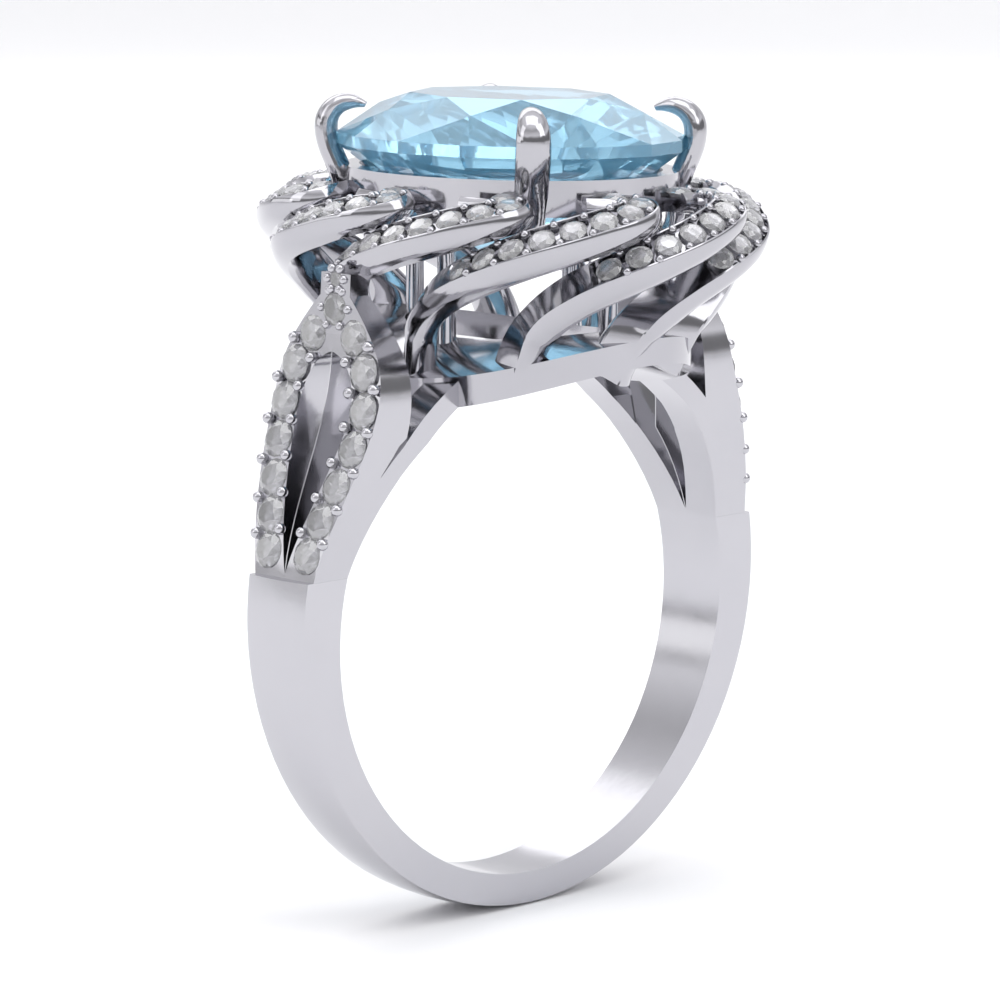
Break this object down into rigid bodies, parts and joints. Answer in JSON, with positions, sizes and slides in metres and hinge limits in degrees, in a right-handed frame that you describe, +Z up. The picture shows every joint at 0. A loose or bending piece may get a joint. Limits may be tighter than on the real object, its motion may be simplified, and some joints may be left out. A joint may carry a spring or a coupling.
{
  "type": "cocktail ring",
  "caption": "Dress ring with a plain band, split stone-set shoulders and a large oval stone in claws above a halo of overlapping swirl blades.",
  "frame": {"origin": "centre of the finger hole, midway along the finger", "axes": "+Y along the finger hole, +X across the ring, +Z up from the finger to the centre stone's table"},
  "size_m": [0.0206, 0.018, 0.0267],
  "materials": {
    "band_metal": "polished",
    "shoulder_metal": "polished",
    "head_metal": "polished",
    "blue_stone": "gloss",
    "white_stone": "gloss"
  },
  "bodies": {
    "root": {"shank_band": "band_metal", "shoulder_arm_back_right": "shoulder_metal", "shoulder_arm_front_right": "shoulder_metal", "shoulder_arm_back_left": "shoulder_metal", "shoulder_arm_front_left": "shoulder_metal", "shoulder_crown_right": "shoulder_metal", "shoulder_crown_left": "shoulder_metal", "inner_strut_back_right": "shoulder_metal", "inner_strut_front_right": "shoulder_metal", "inner_strut_back_left": "shoulder_metal", "inner_strut_front_left": "shoulder_metal", "saddle_plate": "head_metal", "swirl_blade_01": "head_metal", "swirl_blade_02": "head_metal", "swirl_blade_03": "head_metal", "swirl_blade_04": "head_metal", "swirl_blade_05": "head_metal", "swirl_blade_06": "head_metal", "swirl_blade_07": "head_metal", "swirl_blade_08": "head_metal", "swirl_blade_09": "head_metal", "swirl_blade_10": "head_metal", "seat_rail": "head_metal", "gallery_post_1": "head_metal", "gallery_post_2": "head_metal", "gallery_post_3": "head_metal", "gallery_post_4": "head_metal", "claw_1": "head_metal", "claw_2": "head_metal", "claw_3": "head_metal", "claw_4": "head_metal", "centre_stone": "blue_stone", "blade_stones_01": "white_stone", "blade_stones_02": "white_stone", "blade_stones_03": "white_stone", "blade_stones_04": "white_stone", "blade_stones_05": "white_stone", "blade_stones_06": "white_stone", "blade_stones_07": "white_stone", "blade_stones_08": "white_stone", "blade_stones_09": "white_stone", "blade_stones_10": "white_stone", "shoulder_stones_back_right": "white_stone", "shoulder_stones_front_right": "white_stone", "shoulder_stones_back_left": "white_stone", "shoulder_stones_front_left": "white_stone", "crown_stones_right": "white_stone", "crown_stones_left": "white_stone"}
  },
  "joints": []
}
